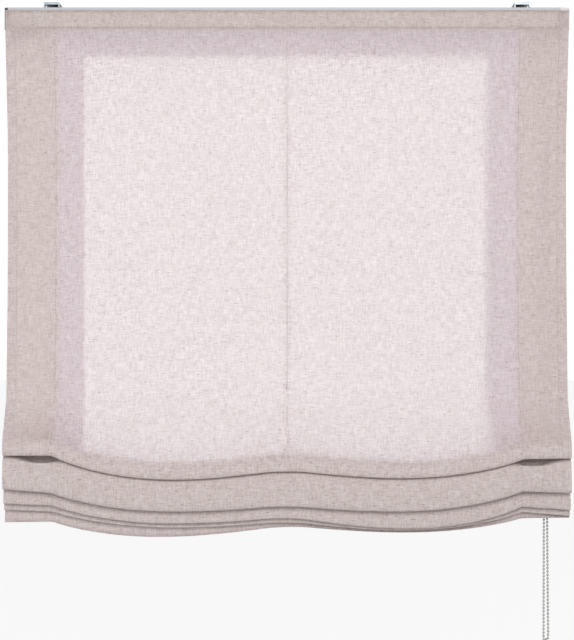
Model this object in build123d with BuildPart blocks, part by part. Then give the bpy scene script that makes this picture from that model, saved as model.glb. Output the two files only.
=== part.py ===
from build123d import *

import os
from math import ceil, cos, pi, radians, sin, sqrt

# A chain-operated roman blind with soft folds, partly raised.
# The origin is on the ceiling, midway between the two brackets.
# +X is to the right as seen from the room, +Y goes towards the window, +Z is up.

os.makedirs("parts", exist_ok=True)

# Driving dimensions in millimetres

# Head rail, an extrusion that is open below, with a T slot on top for the bracket levers
rail_length = 933.0
rail_depth = 40.0
rail_height = 38.0
rail_wall = 1.6
rail_slot = 14.0
rail_channel = 6.0
rail_lip = 2.0
rail_strip = 5.5
end_cap_thickness = 5.5
end_cap_plug = 8.0
end_cap_plug_wall = 2.0
cover_thickness = 14.7
cover_wall = 2.0
cover_tongue = 3.0
cap_corner = 1.5
cap_bevel = 0.8
plug_clearance = 0.2

# Ceiling brackets and the levers that clamp the rail to them
bracket_inset = 69.5
bracket_width = 26.0
bracket_depth = 44.0
bracket_height = 8.5
bracket_thickness = 1.5
bracket_leg = 8.0
bracket_flange = 4.0
bracket_bend = 0.9
screw_spacing = 30.0
screw_radius = 2.25
lever_clearance = 0.5
lever_thickness = 5.5
lever_hub = 7.0
lever_reach = 17.5
lever_width = 7.0
lever_neck = 5.5
lever_head_length = 20.0
lever_head_width = 8.0
lever_head_height = 3.0
lever_head_play = 0.2
lever_head_bevel = 1.0
rivet_radius = 2.0
rivet_head = 3.5
rivet_foot = 3.4
rivet_foot_height = 1.2
rivet_sink = 0.1

# Shaft, spools and lift cords
shaft_across = 5.0
shaft_overhang = 22.0
running_clearance = 0.05
square_clearance = 0.1
cord_diameter = 1.2
cord_clearance = 0.3
spool_gap = 3.5
drum_radius = 8.0
drum_length = 36.0
spool_flange = 10.5
spool_flange_thickness = 2.0
journal_radius = 5.0
journal_length = 4.1
turn_pitch = 1.3
spare_turns = 2
cradle_wall = 3.0
cradle_gap = 0.5
cradle_side = 0.3
cradle_base = 2.0
cradle_wall_top = 11.0
cord_slot_length = 12.0
cord_slot_width = 10.0

# Chain and its control
bead_diameter = 4.5
bead_pitch = 6.0
string_diameter = 1.2
bead_sides = 6
chain_drop = 1082.0
chain_inset = 22.9
chain_spread = 8.0
wheel_pockets = 10
wheel_width = 9.0
wheel_flange = 11.5
wheel_flange_thickness = 1.5
wheel_back_gap = 2.9
wheel_top_gap = 1.8
pocket_clearance = 0.3
string_groove = 2.8
string_groove_depth = 1.9
spring_wire = 1.1
spring_pitch = 1.5
spring_turns = 3
spring_chamber = 7.0
spindle_radius = 5.0
spindle_length = 14.0
wheel_bearing = 3.0
wheel_play = 0.5
coupler_length = 13.8
coupler_hub = 7.0
coupler_flange = 11.2
coupler_flange_thickness = 2.0
coupler_play = 0.2
dog_radius = 9.4
dog_size = 2.4
dog_length = 1.2
dog_clearance = 0.15
housing_wall = 2.5

# Cloth, its tapes and fastening strips
cloth_overhang = 8.5
cloth_thickness = 0.8
ring_spacing = 180.0
first_ring_drop = 290.0
flat_rows = 3
lean_rise = 60.0
bulge_drop = 20.0
upper_fold_drop = 769.0
stack_height = 113.0
fold_reach = 46.0
fold_width = 13.0
belly_rise = 22.0
crest_width = 3.0
layer_pitch = 2.5
loose_folds = 2
straight_side = 25.0
join_gap = 0.01
tape_width = 12.0
tape_thickness = 0.6
tape_clearance = 0.3
tape_margin = 1.0
tape_end_gap = 12.0
strip_thickness = 1.2
strip_height = 25.0
strip_top_gap = 2.0
strip_end_gap = 6.0
ring_radius = 5.0
ring_wire = 1.0
ring_sides = 6
ring_clearance = 0.2
stopper_radius = 3.0
stopper_height = 8.0
stopper_bevel = 0.8

# How far each lower edge hangs below the upper fold's edge at the left tape, as shares of the stack's height.
# The places are the left edge, left tape, left swag, middle tape, right swag, right tape and right edge.
# The rows are the four folds from the top and then the hem.
fold_drop_shares = (
    (0.00, 0.00, 0.35, 0.21, 0.33, 0.05, 0.04),
    (0.50, 0.56, 0.83, 0.74, 0.83, 0.53, 0.56),
    (0.73, 0.75, 1.02, 0.92, 1.09, 0.77, 0.82),
    (0.83, 0.85, 1.09, 1.00, 1.13, 0.86, 0.92),
    (1.01, 1.00, 1.22, 1.06, 1.16, 0.95, 0.94),
)
# Where the lowest point of a swag lies between its outer tape and the middle one, and how its curve leans
swag_low_share = 0.55
swag_lean_share = 0.8
# Stations of the cloth's sections between two tapes
swag_station_shares = (0.14, 0.32, 0.50, 0.68, 0.86)
# How far along a side its corner's parabola reaches, on a short side and on one that keeps a straight middle
middle_share = 0.5
straight_end_share = 0.4
# Of each fold: forward reach, width at the bottom, height of the belly and height of the crest behind it
reach_shares = (1.0, 1.0, 0.35, 0.17)
width_shares = (1.0, 1.0, 0.36, 0.32)
belly_shares = (1.0, 1.0, 0.80, 0.80)
crest_rise_shares = (0.19, 0.43, 0.46, 0.435)

# Places worked out from the sizes

rail_top = -bracket_height
rail_bottom = rail_top - rail_height
flange_bottom = rail_top - rail_wall
web_top = flange_bottom - rail_channel
bay_top = web_top - rail_wall
lip_top = rail_bottom + rail_wall
bay_width = rail_depth - 2 * rail_wall
bay_height = bay_top - lip_top
bay_middle = (bay_top + lip_top) / 2
rail_middle = (rail_top + rail_bottom) / 2
head_length = end_cap_thickness + rail_length + cover_thickness
rail_left = end_cap_thickness - head_length / 2
rail_right = rail_left + rail_length
bracket_spacing = rail_length - 2 * bracket_inset
cloth_width = rail_length + 2 * cloth_overhang

axis_y = rail_depth / 2 - rail_wall - wheel_flange - wheel_back_gap
axis_z = bay_top - wheel_flange - wheel_top_gap
cord_radius = cord_diameter / 2
cord_offset = drum_radius + cord_radius + cord_clearance
cord_y = axis_y - cord_offset

ring_outer = ring_radius + ring_wire
tape_back_y = cord_y - ring_outer - ring_clearance
tape_offset = cloth_thickness / 2 + tape_clearance
cloth_y = tape_back_y - tape_thickness - tape_offset
cloth_top = rail_top - rail_strip
cloth_top_y = -rail_depth / 2 - 2 * strip_thickness - cloth_thickness / 2
strip_top = cloth_top - strip_top_gap
strip_bottom = strip_top - strip_height
lean_top = cloth_top - 2 * (cloth_top - strip_bottom + tape_margin)
lean_bottom = -first_ring_drop + lean_rise
flat_end = -first_ring_drop - (flat_rows - 1) * ring_spacing
fold_count = len(reach_shares)

chain_x = rail_right - chain_inset
wheel_left = chain_x - wheel_width / 2
wheel_right = chain_x + wheel_width / 2
coupler_right = wheel_left - coupler_play
coupler_left = coupler_right - coupler_length

# The cord that lowering takes from a spool, from the lowest ring at the left tape, and the turns that hold it
left_tape_drop = upper_fold_drop + fold_drop_shares[fold_count - 1][1] * stack_height
lowest_ring = crest_rise_shares[-1] * ring_spacing - left_tape_drop - crest_width / 2
lowered_travel = lowest_ring - flat_end + fold_count * ring_spacing
turn_length = 2 * pi * cord_offset
wound_turns = ceil(lowered_travel / turn_length) + spare_turns
winding_length = wound_turns * turn_pitch

# The right spool ends a gap short of the coupler, and each tape hangs where its cord leaves the spool
drum_end = coupler_left - spool_gap - journal_length - spool_flange_thickness
tape_spacing = drum_end - drum_length + winding_length + cord_diameter
tape_places = {"left": -tape_spacing, "middle": 0.0, "right": tape_spacing}

along_x = (0, 90, 0)
from_left = (Align.CENTER, Align.CENTER, Align.MIN)
from_right = (Align.CENTER, Align.CENTER, Align.MAX)
hanging = (Align.CENTER, Align.CENTER, Align.MAX)


def lower_edge(row, x):
    """Height of a fold's lower edge, or the hem's, at x: level ears, and a leaning sine swag between tapes."""
    drops = [upper_fold_drop + share * stack_height for share in fold_drop_shares[row]]
    if x > 0:
        drops.reverse()
    edge, tape, low, middle = drops[:4]
    half = cloth_width / 2
    inward = tape_spacing - abs(x)
    if inward < 0:
        return -(tape + (edge - tape) * -inward / (half - tape_spacing))
    share = inward / tape_spacing
    chord = tape + (middle - tape) * share
    chord_at_low = tape + (middle - tape) * swag_low_share
    sag = (low - chord_at_low) / sin(pi * swag_low_share**swag_lean_share)
    return -(chord + sag * sin(pi * share**swag_lean_share))


def fold_line(x):
    """Corners (y, z) of the polygon that guides the cloth's middle line at x, from the top to the hem."""
    bottoms = [lower_edge(fold, x) for fold in range(fold_count)]
    crests = [bottom + share * ring_spacing for bottom, share in zip(bottoms, crest_rise_shares)]
    line = [
        (cloth_top_y, cloth_top),
        (cloth_top_y, lean_top),
        (cloth_y, lean_bottom),
        (cloth_y, -first_ring_drop),
        (cloth_y, flat_end),
        (cloth_y, flat_end - bulge_drop),
    ]
    for fold in range(fold_count):
        front = cloth_y - reach_shares[fold] * fold_reach
        width = width_shares[fold] * fold_width
        # The gathered folds pass in front of the crests below theirs
        passed = crests[fold:] if fold >= loose_folds else []
        for layer, crest in enumerate(passed):
            line.append((cloth_y - crest_width - (2 * layer + 1) * layer_pitch, crest + crest_width))
        line.append((front, bottoms[fold] + belly_shares[fold] * belly_rise))
        line.append((front, bottoms[fold]))
        line.append((front + width, bottoms[fold]))
        for layer, crest in reversed(list(enumerate(passed))[1:]):
            line.append((cloth_y - crest_width - 2 * layer * layer_pitch, crest + crest_width))
        line.append((cloth_y - crest_width, crests[fold]))
        line.append((cloth_y, crests[fold]))
        line.append((cloth_y, crests[fold] - crest_width))
    line.append((cloth_y, lower_edge(fold_count, x)))
    return line


def beside(line, offset):
    """The polygon's corners moved sideways by the offset, towards the cloth's face where it is positive."""
    points = [Vector(y, z) for y, z in line]
    sides = [(onward - here).normalized() for here, onward in zip(points, points[1:])]
    normals = [Vector(side.Y, -side.X) for side in sides]
    moved = []
    for point, before, after in zip(points, [normals[0], *normals], [*normals, normals[-1]]):
        moved.append(point + (before + after) * (offset / (1 + before.dot(after))))
    return moved


def smooth_line(corners):
    """Edges that round the polygon off: a parabola at each corner, and the middle of each long side kept straight."""
    start = corners[0]
    for here, corner, onward in zip(corners, corners[1:], corners[2:]):
        before = corner - here
        after = onward - corner
        entry = corner - before * (straight_end_share if before.length > straight_side else middle_share)
        leave = corner + after * (straight_end_share if after.length > straight_side else middle_share)
        if (entry - start).length > join_gap:
            Line(start, entry)
        Bezier(entry, corner, leave)
        start = leave
    Line(start, corners[-1])


def ring_heights(x):
    """Heights of the ring rows at a tape: the flat rows, then one at each crest."""
    rows = [-first_ring_drop - row * ring_spacing for row in range(flat_rows)]
    for fold in range(fold_count):
        rows.append(lower_edge(fold, x) + crest_rise_shares[fold] * ring_spacing - crest_width / 2)
    return rows


# The head rail
with BuildPart() as head_rail:
    with BuildSketch(Plane.YZ.offset(rail_left)):
        with Locations((0, rail_middle)):
            Rectangle(rail_depth, rail_height)
        with Locations((0, (flange_bottom + web_top) / 2)):
            Rectangle(bay_width, rail_channel, mode=Mode.SUBTRACT)
        with Locations((0, rail_top)):
            Rectangle(rail_slot, 2 * rail_wall, mode=Mode.SUBTRACT)
        with Locations((0, bay_middle)):
            Rectangle(bay_width, bay_height, mode=Mode.SUBTRACT)
        with Locations((0, rail_bottom)):
            Rectangle(bay_width - 2 * rail_lip, 2 * rail_wall, mode=Mode.SUBTRACT)
    extrude(amount=rail_length)
head_rail.part.label = "head_rail"
export_step(head_rail.part, "parts/head_rail.step")

# The cap on the rail's left end, with a hollow plug
plug_width = bay_width - 2 * plug_clearance
plug_height = bay_height - 2 * plug_clearance
with BuildPart() as end_cap:
    with BuildSketch(Plane.YZ.offset(rail_left)):
        with Locations((0, rail_middle)):
            RectangleRounded(rail_depth, rail_height, cap_corner)
    extrude(amount=-end_cap_thickness)
    chamfer(faces().sort_by(Axis.X)[0].edges(), cap_bevel)
    with BuildSketch(Plane.YZ.offset(rail_left)):
        with Locations((0, bay_middle)):
            Rectangle(plug_width, plug_height)
            Rectangle(plug_width - 2 * end_cap_plug_wall, plug_height - 2 * end_cap_plug_wall, mode=Mode.SUBTRACT)
    extrude(amount=end_cap_plug)
end_cap.part.label = "end_cap"
export_step(end_cap.part, "parts/end_cap.step")

# Ceiling brackets, each with a lever that swings about an upright rivet
lever_top = -bracket_thickness - lever_clearance
lever_bottom = lever_top - lever_thickness
head_top = flange_bottom - lever_head_play
head_bottom = head_top - lever_head_height
leg_height = bracket_height - bracket_thickness
leg_x = (bracket_width - bracket_thickness) / 2
leg_y = (bracket_depth - bracket_leg) / 2
sink_depth = rivet_head - rivet_radius

for side, bracket_x in (("left", -bracket_spacing / 2), ("right", bracket_spacing / 2)):
    with BuildPart() as ceiling_bracket:
        with Locations((bracket_x, 0, 0)):
            Box(bracket_width, bracket_depth, bracket_thickness, align=hanging)
        with Locations((bracket_x, 0, -bracket_thickness)):
            with GridLocations(2 * leg_x, 2 * leg_y, 2, 2):
                Box(bracket_thickness, bracket_leg, leg_height, align=hanging)
        with Locations((bracket_x, (bracket_thickness - bracket_depth) / 2, 0)):
            Box(bracket_width, bracket_thickness, bracket_flange, align=hanging)
        fillet(faces().sort_by(Axis.Z)[-1].edges(), bracket_bend)
        with Locations((bracket_x, 0, 0)):
            with GridLocations(0, screw_spacing, 1, 2):
                Hole(screw_radius)
            Hole(rivet_radius + running_clearance)
            Cone(
                rivet_radius + running_clearance,
                rivet_head + running_clearance,
                sink_depth,
                align=hanging,
                mode=Mode.SUBTRACT,
            )
    ceiling_bracket.part.label = f"ceiling_bracket_{side}"
    export_step(ceiling_bracket.part, f"parts/ceiling_bracket_{side}.step")

    with BuildPart() as bracket_lever:
        with BuildSketch(Plane.XY.offset(lever_bottom)):
            with Locations((bracket_x, 0)):
                Circle(lever_hub)
            with Locations((bracket_x, -(lever_reach - lever_width / 2) / 2)):
                Rectangle(lever_width, lever_reach - lever_width / 2)
            with Locations((bracket_x, -(lever_reach - lever_width / 2))):
                Circle(lever_width / 2)
        extrude(amount=lever_thickness)
        with Locations((bracket_x, 0, lever_bottom)):
            Cylinder(lever_neck, lever_bottom - head_top, align=hanging)
        with Locations((bracket_x, 0, head_top)):
            Box(lever_head_width, lever_head_length, lever_head_height, align=hanging)
        head_ends = faces().group_by(Axis.Z)[0].edges().filter_by(Axis.X)
        chamfer(head_ends, lever_head_bevel)
        with Locations((bracket_x, 0, 0)):
            Hole(rivet_radius + running_clearance)
    bracket_lever.part.label = f"bracket_lever_{side}"
    export_step(bracket_lever.part, f"parts/bracket_lever_{side}.step")

    with BuildPart() as lever_rivet:
        with BuildSketch(Plane.XZ):
            with BuildLine():
                Polyline(
                    (bracket_x, -rivet_sink),
                    (bracket_x + rivet_head - rivet_sink, -rivet_sink),
                    (bracket_x + rivet_radius, -sink_depth),
                    (bracket_x + rivet_radius, head_bottom - running_clearance),
                    (bracket_x + rivet_foot, head_bottom - running_clearance),
                    (bracket_x + rivet_foot, head_bottom - rivet_foot_height),
                    (bracket_x, head_bottom - rivet_foot_height),
                    close=True,
                )
            make_face()
        revolve(axis=Axis((bracket_x, 0, 0), (0, 0, 1)))
    lever_rivet.part.label = f"lever_rivet_{side}"
    export_step(lever_rivet.part, f"parts/lever_rivet_{side}.step")

# The chain wheel on its spindle, at the rail's right end
wheel_radius = bead_pitch / (2 * sin(pi / wheel_pockets))
groove_radius = wheel_radius - string_groove_depth
pocket_radius = bead_diameter / 2 + pocket_clearance
shoulder_width = (wheel_width - string_groove) / 2
bore_radius = spindle_radius + running_clearance
with BuildPart() as chain_wheel:
    with Locations((wheel_left, axis_y, axis_z)):
        Cylinder(groove_radius, wheel_width, rotation=along_x, align=from_left)
        Cylinder(wheel_radius, shoulder_width, rotation=along_x, align=from_left)
        Cylinder(wheel_flange, wheel_flange_thickness, rotation=along_x, align=from_left)
    with Locations((wheel_right, axis_y, axis_z)):
        Cylinder(wheel_radius, shoulder_width, rotation=along_x, align=from_right)
        Cylinder(wheel_flange, wheel_flange_thickness, rotation=along_x, align=from_right)
    with Locations(Plane.YZ.offset(chain_x).shift_origin((chain_x, axis_y, axis_z))):
        with PolarLocations(wheel_radius, wheel_pockets):
            Sphere(pocket_radius, mode=Mode.SUBTRACT)
    with Locations((wheel_left, axis_y, axis_z)):
        Cylinder(bore_radius, wheel_width, rotation=along_x, align=from_left, mode=Mode.SUBTRACT)
        Cylinder(
            spring_chamber,
            wheel_width - wheel_bearing,
            rotation=along_x,
            align=from_left,
            mode=Mode.SUBTRACT,
        )
    with Locations(Plane.YZ.offset(wheel_left).shift_origin((wheel_left, axis_y, axis_z))):
        with PolarLocations(dog_radius, 2):
            Box(
                dog_size + 2 * dog_clearance,
                dog_size + 2 * dog_clearance,
                2 * (dog_length + dog_clearance),
                mode=Mode.SUBTRACT,
            )
chain_wheel.part.label = "chain_wheel"
export_step(chain_wheel.part, "parts/chain_wheel.step")

# The wrap spring that brakes the wheel on the spindle
spring_radius = spindle_radius + running_clearance + spring_wire / 2
spring_start = wheel_left + (spring_wire + wheel_play) / 2
with BuildPart() as brake_spring:
    with BuildLine():
        spring_path = Helix(
            spring_pitch,
            spring_pitch * spring_turns,
            spring_radius,
            center=(spring_start, axis_y, axis_z),
            direction=(1, 0, 0),
        )
    with BuildSketch(Plane(spring_path @ 0, x_dir=(1, 0, 0), z_dir=spring_path % 0)):
        Rectangle(spring_wire, spring_wire)
    sweep(is_frenet=True)
brake_spring.part.label = "brake_spring"
export_step(brake_spring.part, "parts/brake_spring.step")

# The coupler that carries the wheel's turn to the square shaft
spindle_left = wheel_right + wheel_play - spindle_length
spindle_pocket = coupler_right - spindle_left + wheel_play
square_bore = shaft_across + 2 * square_clearance
shaft_right = coupler_right - spindle_pocket - wheel_play
with BuildPart() as drive_coupler:
    with Locations((coupler_left, axis_y, axis_z)):
        Cylinder(coupler_hub, coupler_length, rotation=along_x, align=from_left)
    with Locations((coupler_right, axis_y, axis_z)):
        Cylinder(coupler_flange, coupler_flange_thickness, rotation=along_x, align=from_right)
    with Locations(Plane.YZ.offset(coupler_right).shift_origin((coupler_right, axis_y, axis_z))):
        with PolarLocations(dog_radius, 2):
            Box(dog_size, dog_size, coupler_play + dog_length, align=from_left)
    with Locations((coupler_right, axis_y, axis_z)):
        Cylinder(bore_radius, spindle_pocket, rotation=along_x, align=from_right, mode=Mode.SUBTRACT)
    with Locations((coupler_left, axis_y, axis_z)):
        Box(2 * (shaft_right - coupler_left), square_bore, square_bore, mode=Mode.SUBTRACT)
drive_coupler.part.label = "drive_coupler"
export_step(drive_coupler.part, "parts/drive_coupler.step")

# The housing in the rail's end, with the spindle, and its outer cover
housing_left = wheel_right + wheel_play
housing_length = rail_right - housing_left
with BuildPart() as control_housing:
    with BuildSketch(Plane.YZ.offset(housing_left)):
        with Locations((0, bay_middle)):
            Rectangle(plug_width, plug_height)
    extrude(amount=housing_length)
    with BuildSketch(Plane.YZ.offset(housing_left + housing_wall)):
        with Locations((0, bay_middle)):
            Rectangle(plug_width - 2 * housing_wall, plug_height - 2 * housing_wall)
    extrude(amount=housing_length, mode=Mode.SUBTRACT)
    with Locations((housing_left, axis_y, axis_z)):
        Cylinder(spindle_radius, spindle_length, rotation=along_x, align=from_right)
control_housing.part.label = "control_housing"
export_step(control_housing.part, "parts/control_housing.step")

tongue_width = plug_width - 2 * housing_wall - 2 * plug_clearance
tongue_height = plug_height - 2 * housing_wall - 2 * plug_clearance
with BuildPart() as control_cover:
    with BuildSketch(Plane.YZ.offset(rail_right)):
        with Locations((0, rail_middle)):
            RectangleRounded(rail_depth, rail_height, cap_corner)
    extrude(amount=cover_thickness)
    chamfer(faces().sort_by(Axis.X)[-1].edges(), cap_bevel)
    with BuildSketch(Plane.YZ.offset(rail_right - cover_tongue)):
        with Locations((0, bay_middle)):
            Rectangle(tongue_width, tongue_height)
    extrude(amount=cover_tongue)
    with BuildSketch(Plane.YZ.offset(rail_right - cover_tongue)):
        with Locations((0, bay_middle)):
            Rectangle(tongue_width - 2 * cover_wall, tongue_height - 2 * cover_wall)
    extrude(amount=cover_tongue + cover_thickness - cover_wall, mode=Mode.SUBTRACT)
control_cover.part.label = "control_cover"
export_step(control_cover.part, "parts/control_cover.step")

# The endless bead chain: over the wheel, down both strands and round the bend below
bend_radius = bead_pitch
spread_x = chain_spread / 2
spread_y = sqrt(bend_radius**2 - spread_x**2)
strand_pitches = round((chain_drop + axis_z - bend_radius - bead_diameter / 2) / bead_pitch)
bend_z = axis_z - strand_pitches * bead_pitch


def strand_bead(count, way):
    """Centre of a bead on the front strand (way -1) or the rear one (way 1), counted from the wheel."""
    share = count / strand_pitches
    y = axis_y + way * (wheel_radius + (spread_y - wheel_radius) * share)
    return Vector(chain_x + way * spread_x * share, y, axis_z - count * bead_pitch)


def wheel_bead(count):
    """Centre of a bead on the wheel, counted over the top from the front."""
    angle = pi - count * 2 * pi / wheel_pockets
    return Vector(chain_x, axis_y + wheel_radius * cos(angle), axis_z + wheel_radius * sin(angle))


def bend_bead(count):
    """Centre of a bead in the lower bend, counted from the rear strand, a third of the half turn apart."""
    angle = count * pi / 3
    across = cos(angle)
    return Vector(chain_x + spread_x * across, axis_y + spread_y * across, bend_z - bend_radius * sin(angle))


wheel_half = wheel_pockets // 2
front_beads = [strand_bead(count, -1) for count in range(strand_pitches, 0, -1)]
front_beads += [wheel_bead(count) for count in range(wheel_half + 1)]
rear_beads = [strand_bead(count, 1) for count in range(1, strand_pitches + 1)]
rear_beads += [bend_bead(1), bend_bead(2)]


def chain_planes(beads, before, after):
    """A plane and a radius for each section of a run of beads: a neck, a bead, a neck and so on."""
    line = [before, *beads, after]
    sections = [((before + beads[0]) / 2, beads[0] - before, string_diameter / 2)]
    for back, here, onward in zip(line, line[1:], line[2:]):
        sections.append((here, onward - back, bead_diameter / 2))
        sections.append(((here + onward) / 2, onward - here, string_diameter / 2))
    return [(Plane(middle, x_dir=(1, 0, 0), z_dir=way), radius) for middle, way, radius in sections]


with BuildPart() as front_run:
    for plane, radius in chain_planes(front_beads, rear_beads[-1], rear_beads[0]):
        with BuildSketch(plane):
            RegularPolygon(radius, bead_sides)
    loft(ruled=True, clean=False)

with BuildPart() as rear_run:
    for plane, radius in chain_planes(rear_beads, front_beads[-1], front_beads[0]):
        with BuildSketch(plane):
            RegularPolygon(radius, bead_sides)
    loft(ruled=True, clean=False)

bead_chain = Compound(label="bead_chain", children=[front_run.part, rear_run.part])
export_step(bead_chain, "parts/bead_chain.step")

# The square shaft
shaft_left = -tape_spacing - drum_length - shaft_overhang
with BuildPart() as lift_shaft:
    with Locations((shaft_left, axis_y, axis_z)):
        Box(shaft_right - shaft_left, shaft_across, shaft_across, align=(Align.MIN, Align.CENTER, Align.CENTER))
lift_shaft.part.label = "lift_shaft"
export_step(lift_shaft.part, "parts/lift_shaft.step")

# The fastening strips between rail and cloth
strip_length = rail_length - 2 * strip_end_gap
strip_middle = (rail_left + rail_right) / 2
from_top_back = (Align.CENTER, Align.MAX, Align.MAX)
with BuildPart() as hook_strip:
    with Locations((strip_middle, -rail_depth / 2, strip_top)):
        Box(strip_length, strip_thickness, strip_height, align=from_top_back)
hook_strip.part.label = "hook_strip"
export_step(hook_strip.part, "parts/hook_strip.step")

with BuildPart() as loop_strip:
    with Locations((strip_middle, -rail_depth / 2 - strip_thickness, strip_top)):
        Box(strip_length, strip_thickness, strip_height, align=from_top_back)
loop_strip.part.label = "loop_strip"
export_step(loop_strip.part, "parts/loop_strip.step")

# At each tape: a spool with its turns of cord, the cradle that carries it, the cord, its rings and the tape
cradle_width = bay_width - 2 * cradle_side
cradle_top = axis_z + cradle_wall_top
for place, tape_x in tape_places.items():
    drum_left = tape_x - winding_length - cord_diameter
    drum_right = drum_left + drum_length
    flange_left = drum_left - spool_flange_thickness
    flange_right = drum_right + spool_flange_thickness
    spool_left = flange_left - journal_length
    spool_right = flange_right + journal_length

    with BuildPart() as cord_spool:
        with Locations((spool_left, axis_y, axis_z)):
            Cylinder(journal_radius, spool_right - spool_left, rotation=along_x, align=from_left)
        with Locations((drum_left, axis_y, axis_z)):
            Cylinder(drum_radius, drum_length, rotation=along_x, align=from_left)
            Cylinder(spool_flange, spool_flange_thickness, rotation=along_x, align=from_right)
        with Locations((drum_right, axis_y, axis_z)):
            Cylinder(spool_flange, spool_flange_thickness, rotation=along_x, align=from_left)
        with Locations((spool_left, axis_y, axis_z)):
            Box(2 * (spool_right - spool_left), square_bore, square_bore, mode=Mode.SUBTRACT)
    cord_spool.part.label = f"cord_spool_{place}"
    export_step(cord_spool.part, f"parts/cord_spool_{place}.step")

    winding_inner = drum_radius + running_clearance
    winding_start = drum_left + running_clearance
    with BuildPart() as cord_winding:
        with BuildSketch(Plane.XY.offset(axis_z)):
            with BuildLine():
                ridge = [(winding_start, axis_y - winding_inner)]
                for turn in range(wound_turns):
                    groove_x = winding_start + turn * turn_pitch
                    ridge.append((groove_x, axis_y - winding_inner - cord_radius))
                    ridge.append((groove_x + turn_pitch / 2, axis_y - winding_inner - cord_diameter))
                winding_end = winding_start + winding_length
                ridge.append((winding_end, axis_y - winding_inner - cord_radius))
                ridge.append((winding_end, axis_y - winding_inner))
                Polyline(*ridge, close=True)
            make_face()
        revolve(axis=Axis((0, axis_y, axis_z), (1, 0, 0)))
    cord_winding.part.label = f"cord_winding_{place}"
    export_step(cord_winding.part, f"parts/cord_winding_{place}.step")

    with BuildPart() as spool_cradle:
        left_wall = flange_left - cradle_gap - cradle_wall
        right_wall = flange_right + cradle_gap
        with BuildSketch(Plane.XY.offset(lip_top)):
            with Locations(((left_wall + right_wall + cradle_wall) / 2, 0)):
                Rectangle(right_wall + cradle_wall - left_wall, cradle_width)
            with Locations((tape_x, cord_y)):
                Rectangle(cord_slot_length, cord_slot_width, mode=Mode.SUBTRACT)
        extrude(amount=cradle_base)
        for wall_x in (left_wall, right_wall):
            with BuildSketch(Plane.YZ.offset(wall_x)):
                with Locations((0, (lip_top + cradle_top) / 2)):
                    Rectangle(cradle_width, cradle_top - lip_top)
                with Locations((axis_y, axis_z)):
                    Circle(journal_radius + running_clearance, mode=Mode.SUBTRACT)
            extrude(amount=cradle_wall)
    spool_cradle.part.label = f"spool_cradle_{place}"
    export_step(spool_cradle.part, f"parts/spool_cradle_{place}.step")

    ring_rows = ring_heights(tape_x)
    stopper_top = ring_rows[-1] - ring_wire - ring_clearance
    with BuildPart() as lift_cord:
        with Locations((tape_x, cord_y, axis_z)):
            Cylinder(cord_radius, axis_z - stopper_top + stopper_height, align=hanging)
    lift_cord.part.label = f"lift_cord_{place}"
    export_step(lift_cord.part, f"parts/lift_cord_{place}.step")

    with BuildPart() as cord_stopper:
        with Locations((tape_x, cord_y, stopper_top)):
            Cylinder(stopper_radius, stopper_height, align=hanging)
        chamfer(edges().filter_by(GeomType.CIRCLE), stopper_bevel)
        with Locations((tape_x, cord_y, stopper_top)):
            Hole(cord_radius + running_clearance)
    cord_stopper.part.label = f"cord_stopper_{place}"
    export_step(cord_stopper.part, f"parts/cord_stopper_{place}.step")

    with BuildPart() as lift_rings:
        with BuildSketch(Plane.XZ.offset(-cord_y)):
            with Locations(*[(tape_x + ring_radius, row) for row in ring_rows]):
                RegularPolygon(ring_wire, ring_sides)
        revolve(axis=Axis((tape_x, cord_y, 0), (0, 0, 1)))
    lift_rings.part.label = f"lift_rings_{place}"
    export_step(lift_rings.part, f"parts/lift_rings_{place}.step")

    tape_line = [
        (cloth_top_y, strip_bottom - tape_margin),
        *fold_line(tape_x)[1:-1],
        (cloth_y, lower_edge(fold_count, tape_x) + tape_end_gap),
    ]
    near_corners = beside(tape_line, -tape_offset)
    far_corners = beside(tape_line, -tape_offset - tape_thickness)
    with BuildPart() as ring_tape:
        with BuildSketch(Plane.YZ.offset(tape_x - tape_width / 2)):
            with BuildLine():
                smooth_line(near_corners)
                smooth_line(far_corners)
                Line(near_corners[0], far_corners[0])
                Line(near_corners[-1], far_corners[-1])
            make_face()
        extrude(amount=tape_width)
    ring_tape.part.label = f"ring_tape_{place}"
    export_step(ring_tape.part, f"parts/ring_tape_{place}.step")

# The cloth, through sections at the edges, beside each tape and along the swags
tape_half = tape_width / 2 + tape_margin
swag_shares = [-share for share in reversed(swag_station_shares)] + list(swag_station_shares)
stations = [(x, x) for x in (-cloth_width / 2, cloth_width / 2)]
stations += [(x + side * tape_half, x) for x in tape_places.values() for side in (-1, 1)]
stations += [(share * tape_spacing, share * tape_spacing) for share in swag_shares]
with BuildPart() as blind_cloth:
    for station_x, shape_x in sorted(stations):
        face_corners = beside(fold_line(shape_x), cloth_thickness / 2)
        back_corners = beside(fold_line(shape_x), -cloth_thickness / 2)
        with BuildSketch(Plane.YZ.offset(station_x)):
            with BuildLine():
                smooth_line(face_corners)
                smooth_line(back_corners)
                Line(face_corners[0], back_corners[0])
                Line(face_corners[-1], back_corners[-1])
            make_face()
    loft(ruled=True, clean=False)
blind_cloth.part.label = "blind_cloth"
export_step(blind_cloth.part, "parts/blind_cloth.step")
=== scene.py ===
import math

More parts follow.
